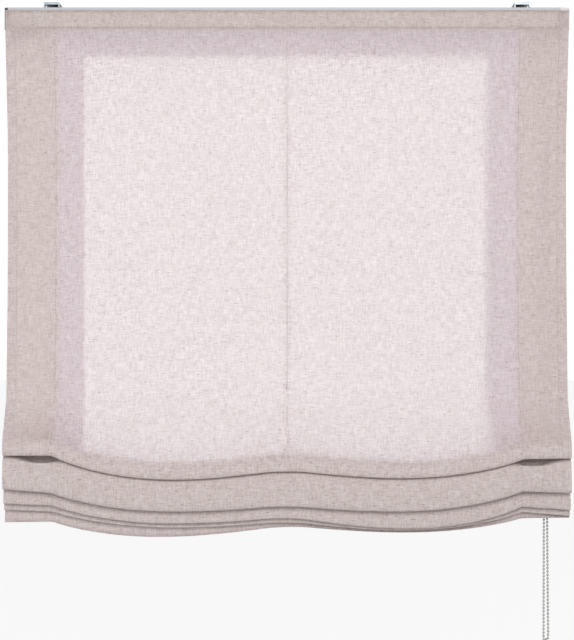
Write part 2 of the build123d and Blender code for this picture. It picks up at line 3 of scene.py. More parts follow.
import bpy
import numpy as np
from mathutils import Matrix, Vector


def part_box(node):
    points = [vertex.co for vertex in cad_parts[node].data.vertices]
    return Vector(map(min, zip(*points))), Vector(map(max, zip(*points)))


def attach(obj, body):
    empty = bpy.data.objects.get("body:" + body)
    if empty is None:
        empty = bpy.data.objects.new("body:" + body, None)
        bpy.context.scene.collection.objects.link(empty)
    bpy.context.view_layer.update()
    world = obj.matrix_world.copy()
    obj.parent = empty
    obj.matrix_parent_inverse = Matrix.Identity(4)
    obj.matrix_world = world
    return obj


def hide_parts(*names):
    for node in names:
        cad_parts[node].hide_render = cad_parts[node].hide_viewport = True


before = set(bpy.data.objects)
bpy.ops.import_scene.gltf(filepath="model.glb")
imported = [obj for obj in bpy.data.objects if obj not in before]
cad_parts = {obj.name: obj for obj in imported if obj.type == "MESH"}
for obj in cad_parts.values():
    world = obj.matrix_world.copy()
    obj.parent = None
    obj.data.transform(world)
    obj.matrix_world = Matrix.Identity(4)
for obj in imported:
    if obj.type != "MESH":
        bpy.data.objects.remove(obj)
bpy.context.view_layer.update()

bl_info = {
    "name": "Roman blind",
    "version": (1, 0, 0),
    "blender": (4, 5, 0),
    "location": "View3D > Sidebar > Blind",
    "description": "Cloth, tapes, cords, chain and finishes of a soft-fold roman blind",
    "category": "Object",
}

MM = 0.001

# Sizes that the part's source also uses, in millimetres
CLOTH_WIDTH = 950.0
CLOTH_TOP = -14.0
CLOTH_TOP_Y = -22.8
CLOTH_Y = -12.4
CLOTH_THICKNESS = 0.8
LEAN_TOP = -70.0
LEAN_BOTTOM = -230.0
FIRST_RING_DROP = 290.0
RING_SPACING = 180.0
FLAT_RING_ROWS = 3
FLAT_END = -650.0
BULGE_DROP = 20.0
UPPER_FOLD_DROP = 769.0
STACK_HEIGHT = 113.0
FOLD_REACH = 46.0
FOLD_WIDTH = 13.0
BELLY_RISE = 22.0
CREST_WIDTH = 3.0
LAYER_PITCH = 2.5
LOOSE_FOLDS = 2
STRAIGHT_SIDE = 25.0
STRAIGHT_END_SHARE = 0.4
MIDDLE_SHARE = 0.5
TAPE_SPACING = 393.0
TAPE_WIDTH = 12.0
TAPE_THICKNESS = 0.6
TAPE_OFFSET = 0.7
TAPE_TOP_RUN = 28.0
TAPE_END_GAP = 12.0
AXIS_Y = 4.0
AXIS_Z = -31.0
CORD_Y = -4.9
CORD_DIAMETER = 1.2
RING_RADIUS = 5.0
RING_WIRE = 1.0
DRUM_RADIUS = 8.0
TURN_PITCH = 1.3
WOUND_TURNS = 13
RUNNING_CLEARANCE = 0.05
CHAIN_X = 439.0
WHEEL_RADIUS = 9.708
CHAIN_BEND_Z = -1075.0
CHAIN_SPREAD_Y = 4.472

TAPE_PLACES = {"left": -TAPE_SPACING, "middle": 0.0, "right": TAPE_SPACING}

# Drops below the upper fold's edge at the left tape, as shares of the stack's height, for the left edge,
# left tape, left swag, middle tape, right swag, right tape and right edge. The rows are the four folds, then
# the hem.
FOLD_DROP_SHARES = np.array(
    (
        (0.00, 0.00, 0.35, 0.21, 0.33, 0.05, 0.04),
        (0.50, 0.56, 0.83, 0.74, 0.83, 0.53, 0.56),
        (0.73, 0.75, 1.02, 0.92, 1.09, 0.77, 0.82),
        (0.83, 0.85, 1.09, 1.00, 1.13, 0.86, 0.92),
        (1.01, 1.00, 1.22, 1.06, 1.16, 0.95, 0.94),
    )
)
FOLDS = 4
SWAG_LOW_SHARE = 0.55
SWAG_LEAN_SHARE = 0.8
CREST_RISE_SHARES = np.array((0.19, 0.43, 0.46, 0.435))

# How the shown cloth hangs, in millimetres and in shares of the sizes above. Each fold's reach and width:
REACH_SHARES = (1.0, 1.0, 0.74, 0.54)
WIDTH_SHARES = (0.72, 0.72, 0.36, 0.32)
# How far the folds' lower edges and the hem are drawn up from the source's places; the crests stay
EDGE_LIFTS = np.array((8.0, 9.0, 9.0, 9.0, 7.5))
# How far each lower fold's face begins below the edge above it, and how much more at the outer tapes
LIP_DROPS = (None, 5.5, 8.0, 5.5)
EAR_DROPS = (None, 6.5, 5.0, 2.5)
LEAST_FACE = 1.5
# The second fold's lip, and the pocket behind it where it gapes
LIP_REACH = 40.0
POCKET_DROP = 3.0
POCKET_CLEARANCE = 3.2
POCKET_BEND_SHARE = 0.25
LIP_BEND_SHARE = 0.2
# How far the hem leans forward at its lower end
HEM_REACH = 18.0
# Where the folds gape: from just inside an outer tape to just outside it, closing again towards the side
GAPE_START = TAPE_SPACING - 22.0
GAPE_FULL = TAPE_SPACING + 8.0
GAPE_CLOSING = TAPE_SPACING + 25.0
GAPE_END = CLOTH_WIDTH / 2 - 4.0
GAPE_CLOSING_SHARE = 0.85
# How far the lower edges are averaged at the middle tape, how that dies away, and the least of it
PEAK_ROUNDING = 34.0
PEAK_SPREAD = 60.0
LEAST_ROUNDING = 5.0
ROUNDING_STEPS = 9
# Slow waves of the cloth: height share, length across, length down and phase. Hem and folds calm them.
WAVES = ((1.0, 310, 900, 0.7), (0.7, 173, -640, 2.1), (0.35, 97, 310, 0.4))
WAVE_SHARE = 0.62
HEM_WAVE_SHARE = 0.15
FOLD_CALM_SHARE = 0.72
PUCKER_CALM_SHARE = 0.6
# Drag lines that fan out from the tapes, and puckers beside the stitches
FAN_SHARE = 0.6
FAN_SLOPE_SHARE = 0.55
FAN_PITCH = 62
FAN_WIDTH = 70
PUCKER_PITCH = 15
PUCKER_DRIFT = 41
PUCKER_DRIFT_PHASE = 1.3
PUCKER_WIDTH = 8.0
# Runs down the cloth over which it comes out of the top hem, the drag lines begin and end, the folds calm the
# waves and the folds come forward
HEM_CALM_RUNS = (30, 220)
FAN_START_RUNS = (380, 620)
FAN_END_RUNS = (660, 740)
FOLD_CALM_RUNS = (640, 760)
FORWARD_RUNS = (600, 700)
# Turned hems: the step at the turned edge, the places of their seams, and how far a seam draws the face in
HEM_STEP = (-0.5, 0.9)
SIDE_SEAM_INSET = 1.5
HEM_SEAM_INSET = 2.0
HEM_SEAM_SPREAD = 3
SEAM_DIP = 0.16
SEAM_WIDTH = 1.1
# How much thicker the hems are at the back, and the seams' share there
HEM_THICKENING = 0.7
BACK_DIP_SHARE = 0.5
# Hems count as partly layered; the gathered cloth, from just above the first fold's edge, as wholly: painted
# light that makes the folds reflect more
HEM_LAYER_SHARE = 0.3
GATHERED_RUNS = (-36.0, -14.0)
EDGE_NEARNESS = 3.0
# Stitches: sides, how far they sink in, half width, half height, half length as a share of the pitch, and how
# far the rows along the hems stay from the cloth's sides
STITCH_SIDES = (6, 4)
STITCH_SINK = 0.20
STITCH_HALF_WIDTH = 0.30
STITCH_HALF_HEIGHT = 0.26
STITCH_LENGTH_SHARE = 0.40
STITCH_MARGIN = 3
# Points across a tape as shares of its half width, its hollow, and its thicker selvedges
TAPE_SHARES = np.array((-1, -0.93, -0.8, -0.5, 0, 0.5, 0.8, 0.93, 1))
TAPE_HOLLOW = 0.1
SELVEDGE_HEIGHT = 0.16
SELVEDGE_SHARE = 0.9
SELVEDGE_SPREAD = 0.1
# Rings and the thread loops that hold them: sides round and through, and the loops' size and places
RING_SIDES = (32, 12)
LOOP_RADIUS = 1.32
LOOP_WIRE = 0.22
LOOP_SIDES = (16, 6)
LOOP_STEPS = (-0.5, 0.0, 0.5)
# The chain's beads and pins, and its lower end, where the strands spread and lean
BEAD_SIDES = (12, 8)
PIN_SIDES = 6
CHAIN_BEND_RADIUS = 6.6
CHAIN_SPREAD_X = 4.9
CHAIN_LEAN_X = 3.0
CHAIN_STRAIGHT_BEADS = 6
# Braided cord: points of its route, sides and step of its tube, strands, their relief and the length in which
# they turn once
CORD_ROUTE_POINTS = 5
CORD_SIDES = 8
CORD_STEP = 1.6
CORD_STRANDS = 4
STRAND_RELIEF = 0.12
CORD_LAY = 7.0
POINTS_PER_TURN = 28

# Floor, in millimetres, the share of it that shows white, and the light of the surroundings
FLOOR_REACH = 12000.0
FLOOR_LEVEL = -1250.0
FLOOR_WHITE_SHARE = 0.9
SOFT_LIGHT = 0.40

# How finely the cloth is divided, in millimetres, and how many rows a tight bend gets
ROW_STEP = 9.0
ROW_SLACK = 0.001
BEND_ROWS = 5
COLUMN_STEP = 7.2
COLUMN_CLEARANCE = 2.2
SEAM_COLUMNS = (-2.4, -1.2, 0.0, 1.2, 2.4)
EDGE_COLUMNS = (0.0, 0.5, 1.6, 4.0)

# A tube's way counts as upright above this share, points nearer than this are one, and a nudge keeps a cross
# product from being nothing
NEARLY_UPRIGHT = 0.9
SAME_POINT = 1e-4
NUDGE = 1e-9


def linear(hex_colour):
    """Linear RGBA of an sRGB hex colour."""
    values = np.array([int(hex_colour[k : k + 2], 16) for k in (1, 3, 5)]) / 255
    values = np.where(values <= 0.04045, values / 12.92, ((values + 0.055) / 1.055) ** 2.4)
    return (*(float(value) for value in values), 1.0)


class BlindClothSettings(bpy.types.PropertyGroup):
    """Sizes of the sewn cloth that a user may change."""

    side_hem: bpy.props.FloatProperty(
        name="Side hem", description="Width of the turned side hems", default=0.017, unit="LENGTH"
    )
    top_hem: bpy.props.FloatProperty(
        name="Top hem", description="Depth of the turned top hem", default=0.031, unit="LENGTH"
    )
    lower_hem: bpy.props.FloatProperty(
        name="Lower hem", description="Depth of the turned lower hem", default=0.028, unit="LENGTH"
    )
    ripple: bpy.props.FloatProperty(
        name="Ripple", description="Height of the cloth's slow waves", default=0.0010, unit="LENGTH"
    )
    pucker: bpy.props.FloatProperty(
        name="Pucker", description="Height of the puckers beside the stitches", default=0.0003, unit="LENGTH"
    )
    waist: bpy.props.FloatProperty(
        name="Waist", description="How far each side draws in at half height", default=0.0025, unit="LENGTH"
    )
    fold_draw: bpy.props.FloatProperty(
        name="Fold draw",
        description="How far each side draws in where a fold bulges",
        default=0.0034,
        unit="LENGTH",
    )
    stitch: bpy.props.FloatProperty(
        name="Stitch", description="Length of one stitch with its gap", default=0.0042, unit="LENGTH"
    )


class BlindChainSettings(bpy.types.PropertyGroup):
    """Sizes of the ball chain that a user may change."""

    bead: bpy.props.FloatProperty(
        name="Bead", description="Diameter of a bead", default=0.0045, unit="LENGTH"
    )
    pitch: bpy.props.FloatProperty(
        name="Pitch", description="Distance from bead to bead", default=0.0060, unit="LENGTH"
    )
    pin: bpy.props.FloatProperty(
        name="Pin", description="Diameter of the pins between beads", default=0.0013, unit="LENGTH"
    )


class BlindColourSettings(bpy.types.PropertyGroup):
    """Colours of the finishes that a user may change."""

    linen: bpy.props.FloatVectorProperty(
        name="Linen",
        description="Pale threads of the cloth",
        subtype="COLOR",
        size=4,
        default=linear("#e9dedc"),
    )
    linen_slub: bpy.props.FloatVectorProperty(
        name="Linen slub",
        description="Darker slubs in the cloth",
        subtype="COLOR",
        size=4,
        default=linear("#c0aeab"),
    )
    straw: bpy.props.FloatVectorProperty(
        name="Straw",
        description="Bits of straw in the cloth",
        subtype="COLOR",
        size=4,
        default=linear("#a08a80"),
    )
    thread: bpy.props.FloatVectorProperty(
        name="Thread", description="Sewing thread", subtype="COLOR", size=4, default=linear("#c9bcba")
    )
    rail: bpy.props.FloatVectorProperty(
        name="Rail", description="Paint on the head rail", subtype="COLOR", size=4, default=linear("#c9c8cb")
    )
    chain: bpy.props.FloatVectorProperty(
        name="Chain", description="Plated beads", subtype="COLOR", size=4, default=linear("#b9b7b6")
    )


def settings(group):
    """One of the blind's setting groups on the scene."""
    return getattr(bpy.context.scene, group)


def put_mesh(name, material, points, quads, uv=None, smooth=True):
    """A mesh object from points (n, 3) in millimetres and quads (m, 4). A quad may repeat its last corner."""
    flat = quads[:, 2] == quads[:, 3]
    counts = np.where(flat, 3, 4)
    corners = quads[np.arange(4)[None, :] < counts[:, None]]
    mesh = bpy.data.meshes.new(name)
    mesh.vertices.add(len(points))
    mesh.vertices.foreach_set("co", (points * MM).astype(np.float32).ravel())
    mesh.loops.add(len(corners))
    mesh.loops.foreach_set("vertex_index", corners.astype(np.int32))
    mesh.polygons.add(len(quads))
    starts = np.concatenate(([0], np.cumsum(counts)[:-1]))
    mesh.polygons.foreach_set("loop_start", starts.astype(np.int32))
    mesh.polygons.foreach_set("use_smooth", np.full(len(quads), smooth))
    mesh.update(calc_edges=True)
    if uv is not None:
        layer = mesh.uv_layers.new(name="UVMap")
        layer.data.foreach_set("uv", uv[corners].astype(np.float32).ravel())
    if mesh.validate():
        raise RuntimeError(f"{name}: the mesh had faulty faces")
    mesh.materials.append(material)
    piece = bpy.data.objects.new(name, mesh)
    bpy.context.scene.collection.objects.link(piece)
    return piece


def grid_quads(rows, columns, wrap_rows=False, wrap_columns=False):
    """Quads (m, 4) of a grid of points numbered row by row, closed round in either direction if asked."""
    row = np.arange(rows if wrap_rows else rows - 1)[:, None]
    column = np.arange(columns if wrap_columns else columns - 1)[None, :]
    below = (row + 1) % rows
    right = (column + 1) % columns
    quads = (row * columns + column, below * columns + column, below * columns + right, row * columns + right)
    return np.stack(np.broadcast_arrays(*quads), -1).reshape(-1, 4)


def rim_ring(rows, columns):
    """Point numbers once round the border of a grid, down its left side first."""
    left = np.arange(rows) * columns
    bottom = (rows - 1) * columns + np.arange(1, columns)
    right = np.arange(rows - 2, -1, -1) * columns + columns - 1
    top = np.arange(columns - 2, 0, -1)
    return np.concatenate((left, bottom, right, top))


def closed_sheet(face, back, face_uv):
    """Points, quads and UVs of a sheet with a face and a back grid (rows, columns, 3) and a strip round its
    rim."""
    rows, columns = face.shape[:2]
    count = rows * columns
    front = grid_quads(rows, columns)
    ring = rim_ring(rows, columns)
    onward = np.roll(ring, -1)
    rim = np.stack((ring, ring + count, onward + count, onward), -1)
    quads = np.concatenate((front, front[:, ::-1] + count, rim[:, ::-1]))
    points = np.concatenate((face.reshape(-1, 3), back.reshape(-1, 3)))
    return points, quads, np.tile(face_uv.reshape(-1, 2), (2, 1))


def raw_lower_edges(x):
    """Heights of the folds' lower edges and the hem, rows, at each x, columns: a straight run outside a tape,
    and between tapes a chord with the sine of a leaning share hung from it."""
    shares = np.where((x > 0)[:, None, None], FOLD_DROP_SHARES[:, ::-1], FOLD_DROP_SHARES)
    edge, tape, low, middle = (shares[..., place].T for place in range(4))
    inward = (TAPE_SPACING - np.abs(x)) / TAPE_SPACING
    ear = tape - (edge - tape) * inward * TAPE_SPACING / (CLOTH_WIDTH / 2 - TAPE_SPACING)
    share = np.clip(inward, 0, 1)
    chord = tape + (middle - tape) * share
    sag = low - tape - (middle - tape) * SWAG_LOW_SHARE
    sag = sag / math.sin(math.pi * SWAG_LOW_SHARE**SWAG_LEAN_SHARE)
    swag = chord + sag * np.sin(np.pi * share**SWAG_LEAN_SHARE)
    return -(UPPER_FOLD_DROP + STACK_HEIGHT * np.where(inward < 0, ear, swag))


def lower_edges(x):
    """The lower edges as they hang, averaged over a few centimetres near the middle tape, where the cloth's
    stiffness rounds the peak between the two swags, and drawn up a little."""
    reach = PEAK_ROUNDING * np.exp(-((x / PEAK_SPREAD) ** 2)) + LEAST_ROUNDING
    shifts = np.linspace(-1, 1, ROUNDING_STEPS)
    rounded = np.mean([raw_lower_edges(x + shift * reach) for shift in shifts], axis=0)
    return rounded + EDGE_LIFTS[:, None]


def fold_corners(x):
    """Corners (corner, column, 2) in y and z of the polygon that guides the cloth's middle line at each x.
    From the top down it leans back to the flat part, then for each fold runs forward over the layers behind
    it, down its face to the lower edge and back up to its crest, and ends at the hem."""
    edges = lower_edges(x)
    bottoms = edges[:FOLDS]
    crests = bottoms - EDGE_LIFTS[:FOLDS, None] + CREST_RISE_SHARES[:, None] * RING_SPACING
    line = [
        (CLOTH_TOP_Y, CLOTH_TOP),
        (CLOTH_TOP_Y, LEAN_TOP),
        (CLOTH_Y, LEAN_BOTTOM),
        (CLOTH_Y, -FIRST_RING_DROP),
        (CLOTH_Y, FLAT_END),
        (CLOTH_Y, FLAT_END - BULGE_DROP),
    ]
    # At the outer tapes the folds gape, less so towards the cloth's sides
    gape = ease(np.abs(x), GAPE_START, GAPE_FULL)
    gape = gape * (1 - GAPE_CLOSING_SHARE * ease(np.abs(x), GAPE_CLOSING, GAPE_END))
    for fold, bottom in enumerate(bottoms):
        front = CLOTH_Y - REACH_SHARES[fold] * FOLD_REACH
        passed = list(enumerate(crests[fold:])) if fold >= LOOSE_FOLDS else []
        for layer, crest in passed:
            line.append((CLOTH_Y - CREST_WIDTH - (2 * layer + 1) * LAYER_PITCH, crest + CREST_WIDTH))
        lip = bottoms[fold - 1] - LIP_DROPS[fold] - EAR_DROPS[fold] * gape if fold else bottom + BELLY_RISE
        if fold == 1:
            # The second fold's face comes forward to a crisp lip. Where it gapes, the cloth behind the lip
            # falls into a pocket that ends just in front of that fold's back.
            pocket = lip - POCKET_DROP
            back_share = np.clip((crests[1] - pocket) / (crests[1] - bottom), 0, 1)
            back_depth = FOLD_REACH - WIDTH_SHARES[1] * FOLD_WIDTH - CREST_WIDTH
            depth = CREST_WIDTH + POCKET_CLEARANCE + back_share * back_depth
            top = np.stack(np.broadcast_arrays(CLOTH_Y, crests[0] - CREST_WIDTH))
            edge = np.stack(np.broadcast_arrays(CLOTH_Y - LIP_REACH, lip))
            belly = np.stack(np.broadcast_arrays(front, bottom + BELLY_RISE))
            ground = (top + edge) / 2
            ground = ground + (np.stack((CLOTH_Y - depth, pocket)) - ground) * gape
            line += [ground + LIP_BEND_SHARE * (top - ground), ground]
            line += [edge + POCKET_BEND_SHARE * (ground - edge), edge, edge + LIP_BEND_SHARE * (belly - edge)]
            lip = bottom + BELLY_RISE
        line.append((front, np.maximum(lip, bottom + LEAST_FACE)))
        line.append((front, bottom))
        line.append((front + WIDTH_SHARES[fold] * FOLD_WIDTH, bottom))
        for layer, crest in passed[:0:-1]:
            line.append((CLOTH_Y - CREST_WIDTH - 2 * layer * LAYER_PITCH, crest + CREST_WIDTH))
        line.append((CLOTH_Y - CREST_WIDTH, crests[fold]))
        line.append((CLOTH_Y, crests[fold]))
        line.append((CLOTH_Y, crests[fold] - CREST_WIDTH))
    line.append((CLOTH_Y - HEM_REACH, edges[FOLDS]))
    return np.array([np.stack(np.broadcast_arrays(y + 0 * x, z + 0 * x), -1) for y, z in line])


def rounded_rows(corners):
    """Rows (row, column, 2) of points along the rounded polygons. At each corner P lies the parabola
    (1-t)^2 A + 2t(1-t) P + t^2 B, where A and B are on the corner's two sides. Long sides stay straight
    between."""
    sides = np.diff(corners, axis=0)
    long_side = np.linalg.norm(sides, axis=-1).min(axis=1) > STRAIGHT_SIDE
    shares = np.where(long_side, STRAIGHT_END_SHARE, MIDDLE_SHARE)[:, None, None]
    entries = corners[1:-1] - sides[:-1] * shares[:-1]
    leaves = corners[1:-1] + sides[1:] * shares[1:]
    rows = []
    start = corners[0]
    for entry, corner, leave in zip(entries, corners[1:-1], leaves):
        steps = math.ceil(np.linalg.norm(entry - start, axis=-1).max() / ROW_STEP - ROW_SLACK)
        t = (np.arange(steps) / max(steps, 1))[:, None, None]
        rows.append(start + (entry - start) * t)
        bend = np.linalg.norm(entry - corner, axis=-1) + np.linalg.norm(leave - corner, axis=-1)
        steps = max(BEND_ROWS, math.ceil(bend.max() / ROW_STEP))
        t = (np.arange(steps) / steps)[:, None, None]
        rows.append((1 - t) ** 2 * entry + 2 * t * (1 - t) * corner + t**2 * leave)
        start = leave
    steps = math.ceil(np.linalg.norm(corners[-1] - start, axis=-1).max() / ROW_STEP)
    rows.append(start + (corners[-1] - start) * np.linspace(0, 1, steps + 1)[:, None, None])
    return np.concatenate(rows)


def unit(vectors):
    """Vectors (..., k) divided by their lengths."""
    return vectors / np.linalg.norm(vectors, axis=-1, keepdims=True)


def runs_along(path):
    """Length along a path (n, k), or along several side by side (n, columns, k), up to each point."""
    steps = np.linalg.norm(np.diff(path, axis=0), axis=-1)
    return np.concatenate((0 * steps[:1], np.cumsum(steps, axis=0)))


def ease(value, low, high):
    """Smooth step from 0 at low to 1 at high: 3s^2 - 2s^3."""
    share = np.clip((value - low) / (high - low), 0, 1)
    return share * share * (3 - 2 * share)


def ripples(x, run):
    """Height of the cloth's waves along its normal, in millimetres, at x and a run down from the top: slow
    crossing sines, drag lines that fan out from the nearest tape, and puckers beside its stitches."""
    sizes = settings("blind_cloth")
    turn = 2 * np.pi
    gap = np.min([np.abs(x - tape) for tape in TAPE_PLACES.values()], axis=0)
    slow = sum(
        share * np.sin(turn * (x / across + run / down) + phase) for share, across, down, phase in WAVES
    )
    folded = ease(run, *FOLD_CALM_RUNS)
    calm = HEM_WAVE_SHARE + (1 - HEM_WAVE_SHARE) * ease(run, *HEM_CALM_RUNS)
    calm = calm * (1 - FOLD_CALM_SHARE * folded)
    fan = np.sin(turn * (FAN_SLOPE_SHARE * gap + run) / FAN_PITCH) * np.exp(-gap / FAN_WIDTH)
    fan = fan * ease(run, *FAN_START_RUNS) * (1 - ease(run, *FAN_END_RUNS))
    drift = PUCKER_DRIFT_PHASE * np.sin(run / PUCKER_DRIFT)
    pucker = np.sin(turn * run / PUCKER_PITCH + drift) * np.exp(-((gap / PUCKER_WIDTH) ** 2))
    pucker = pucker * (1 - PUCKER_CALM_SHARE * folded)
    return (sizes.ripple * (WAVE_SHARE * slow * calm + FAN_SHARE * fan) + sizes.pucker * pucker) / MM


def hem_share(x, run, total):
    """1 on the turned hems and 0 on the single cloth, with the turned edge as a step a millimetre wide."""
    sizes = settings("blind_cloth")
    side = CLOTH_WIDTH / 2 - np.abs(x)
    hems = ((side, sizes.side_hem / MM), (run, sizes.top_hem / MM), (total - run, sizes.lower_hem / MM))
    start, end = HEM_STEP
    return np.max([1 - ease(place, width + start, width + end) + 0 * run for place, width in hems], axis=0)


def seam_dip(x, run, total):
    """How far a row of stitches draws the face in, in millimetres: a bell about two millimetres wide along
    each row."""
    sizes = settings("blind_cloth")
    gaps = [np.abs(x - tape) + 0 * run for tape in TAPE_PLACES.values()]
    gaps.append(np.abs(CLOTH_WIDTH / 2 - np.abs(x) - sizes.side_hem / MM + SIDE_SEAM_INSET) + 0 * run)
    for place, width in ((run, sizes.top_hem / MM), (total - run, sizes.lower_hem / MM)):
        gaps.append(np.abs(place - width + HEM_SEAM_INSET) / HEM_SEAM_SPREAD)
    return SEAM_DIP * np.exp(-((np.min(gaps, axis=0) / SEAM_WIDTH) ** 2))


def cloth_lines(x):
    """Middle points (row, column, 3), unit normals towards the face and runs (row, column) of the cloth at
    each x. The sides draw in by a sine of the height and where a fold comes forward, and the ripples move
    each point along its normal."""
    line = rounded_rows(fold_corners(x))
    run = runs_along(line)
    along = unit(np.gradient(line, axis=0))
    normal = np.stack((0 * run, along[..., 1], -along[..., 0]), -1)
    sizes = settings("blind_cloth")
    height = np.clip((line[..., 1] - CLOTH_TOP) / (FLAT_END - CLOTH_TOP), 0, 1)
    forward = np.clip((CLOTH_Y - line[..., 0]) / FOLD_REACH, 0, 1) * ease(run, *FORWARD_RUNS)
    drawn_in = (sizes.waist * np.sin(np.pi * height) + sizes.fold_draw * forward) / MM
    shown_x = x * (1 - drawn_in / (CLOTH_WIDTH / 2))
    points = np.stack((shown_x, line[..., 0], line[..., 1]), -1)
    return points + normal * ripples(x, run)[..., None], normal, run


def by_run(values, run, wanted):
    """Values (row, 3) of one column read at the wanted runs down it."""
    return np.stack([np.interp(wanted, run, values[:, axis]) for axis in range(3)], -1)


def add(tree, kind, inputs=None, **choices):
    """Adds a node with its choices. Inputs give each socket a value, or the socket or node that it is linked
    from; of a node, the first output in use is taken."""
    node = tree.nodes.new(kind)
    for name, value in choices.items():
        setattr(node, name, value)
    for name, value in (inputs or {}).items():
        if isinstance(value, bpy.types.Node):
            value = next(socket for socket in value.outputs if socket.enabled)
        if isinstance(value, bpy.types.NodeSocket):
            tree.links.new(value, node.inputs[name])
        else:
            node.inputs[name].default_value = value
    return node


def new_material(name):
    """An empty node material and its tree."""
    material = bpy.data.materials.new(name)
    material.use_nodes = True
    material.node_tree.nodes.clear()
    return material, material.node_tree


def slubby_linen():
    """Undyed slubby linen, a plain weave of uneven yarn: pale, matt, a little see-through to strong light,
    with short darker slubs along both ways of the weave and a soft nap that shows as sheen."""
    colours = settings("blind_colours")
    material, tree = new_material("slubby_linen")
    # UVs are in metres. Weft slubs are about 17 mm long and 1.9 mm thick, warp slubs 16 mm by 2.2 mm. Bits of
    # straw lie along the weft, about 9 mm long and 1.8 mm thick. The real thread spacing, 0.6 mm, is too fine
    # to show, so the weave is drawn at 2.4 mm.
    place = add(tree, "ShaderNodeUVMap", uv_map="UVMap")
    uneven = {"Detail": 4.0, "Roughness": 0.65, "Distortion": 0.5}
    grains = (
        (17, 1.9, uneven),
        (2.2, 16, uneven),
        (9, 1.8, {"Detail": 2.0, "Roughness": 0.5}),
        (2.4, 2.4, {"Detail": 4.0}),
    )
    noises = []
    for across, down, look in grains:
        scale = (1 / (across * MM), 1 / (down * MM), 1)
        scaled = add(tree, "ShaderNodeMapping", {"Vector": place, "Scale": scale})
        noises.append(add(tree, "ShaderNodeTexNoise", {"Vector": scaled, "Scale": 1.0, **look}))
    weft, warp, straw, weave = noises
    slub = add(tree, "ShaderNodeMath", {0: weft, 1: warp}, operation="ADD")
    # Uneven yarn clouds the cloth over about 9 mm
    cloud = add(
        tree, "ShaderNodeTexNoise", {"Vector": place, "Scale": 1 / (9 * MM), "Detail": 3.0, "Roughness": 0.7}
    )
    # Share of slub colour, share of straw colour, brightness and roughness, each from its own noise
    ranges = (
        (slub, 0.80, 1.26, 0.0, 0.8),
        (straw, 0.61, 0.73, 0.0, 0.85),
        (cloud, 0.3, 0.7, 0.93, 1.06),
        (weave, 0.3, 0.7, 0.82, 0.95),
    )
    sockets = ("Value", "From Min", "From Max", "To Min", "To Max")
    spread, fleck, mottle, rough = (
        add(tree, "ShaderNodeMapRange", dict(zip(sockets, values))) for values in ranges
    )
    yarn = add(
        tree,
        "ShaderNodeMix",
        {"Factor": spread, "A": tuple(colours.linen), "B": tuple(colours.linen_slub)},
        data_type="RGBA",
    )
    flecked = add(
        tree, "ShaderNodeMix", {"Factor": fleck, "A": yarn, "B": tuple(colours.straw)}, data_type="RGBA"
    )
    colour = add(tree, "ShaderNodeVectorMath", {0: flecked, 1: mottle}, operation="MULTIPLY")
    relief = add(tree, "ShaderNodeMath", {0: weave, 1: slub}, operation="ADD")
    bump = add(tree, "ShaderNodeBump", {"Height": relief, "Strength": 0.35, "Distance": 0.6 * MM})
    body = add(
        tree,
        "ShaderNodeBsdfPrincipled",
        {
            "Base Color": colour,
            "Roughness": rough,
            "Specular IOR Level": 0.2,
            "Sheen Weight": 0.15,
            "Sheen Roughness": 0.5,
            "Normal": bump,
        },
    )
    # Light passes both faces of the sheet, so each tints it less than the yarn's own colour
    tint = add(tree, "ShaderNodeGamma", {"Color": colour, "Gamma": 0.36})
    through = add(tree, "ShaderNodeBsdfTranslucent", {"Color": tint, "Normal": bump})
    # Turned hems are two layers and let less light through. The gathered cloth, single in each sheet, gets
    # the same as painted light: it reflects more, so the folds look brighter
    hem_layers_and_painted_fold_light = add(tree, "ShaderNodeAttribute", attribute_name="hem_layers_and_painted_fold_light").outputs["Fac"]
    passed = add(tree, "ShaderNodeMapRange", {"Value": hem_layers_and_painted_fold_light, "To Min": 0.55, "To Max": 0.16})
    mix = add(tree, "ShaderNodeMixShader", {"Fac": passed, 1: body, 2: through})
    add(tree, "ShaderNodeOutputMaterial", {"Surface": mix})
    return material


def speckled(
    name, light, dark, size_mm, rough, metal=0.0, bump=0.1, sheen=0.0, stretch=(1, 1, 1), through=0.0
):
    """A finish with one pattern of grains: noise of the grain's size in millimetres mixes two colours, varies
    the roughness between two values and raises a small bump. A share of the light may go through."""
    material, tree = new_material(name)
    place = add(tree, "ShaderNodeTexCoord").outputs["Object"]
    scaled = add(tree, "ShaderNodeMapping", {"Vector": place, "Scale": stretch})
    grain = add(
        tree, "ShaderNodeTexNoise", {"Vector": scaled, "Scale": 1 / (size_mm * MM), "Detail": 3.0}
    )
    share = add(tree, "ShaderNodeMapRange", {"Value": grain, "From Min": 0.35, "From Max": 0.65})
    colour = add(tree, "ShaderNodeMix", {"Factor": share, "A": light, "B": dark}, data_type="RGBA")
    roughness = add(
        tree,
        "ShaderNodeMapRange",
        {"Value": grain, "From Min": 0.3, "From Max": 0.7, "To Min": rough[0], "To Max": rough[1]},
    )
    relief = add(
        tree, "ShaderNodeBump", {"Height": grain, "Strength": bump, "Distance": 0.2 * size_mm * MM}
    )
    surface = add(
        tree,
        "ShaderNodeBsdfPrincipled",
        {
            "Base Color": colour,
            "Roughness": roughness,
            "Metallic": metal,
            "Sheen Weight": sheen,
            "Normal": relief,
        },
    )
    if through:
        glow = add(tree, "ShaderNodeBsdfTranslucent", {"Color": linear("#ffffff")})
        surface = add(tree, "ShaderNodeMixShader", {"Fac": through, 1: surface, 2: glow})
    add(tree, "ShaderNodeOutputMaterial", {"Surface": surface})
    return material


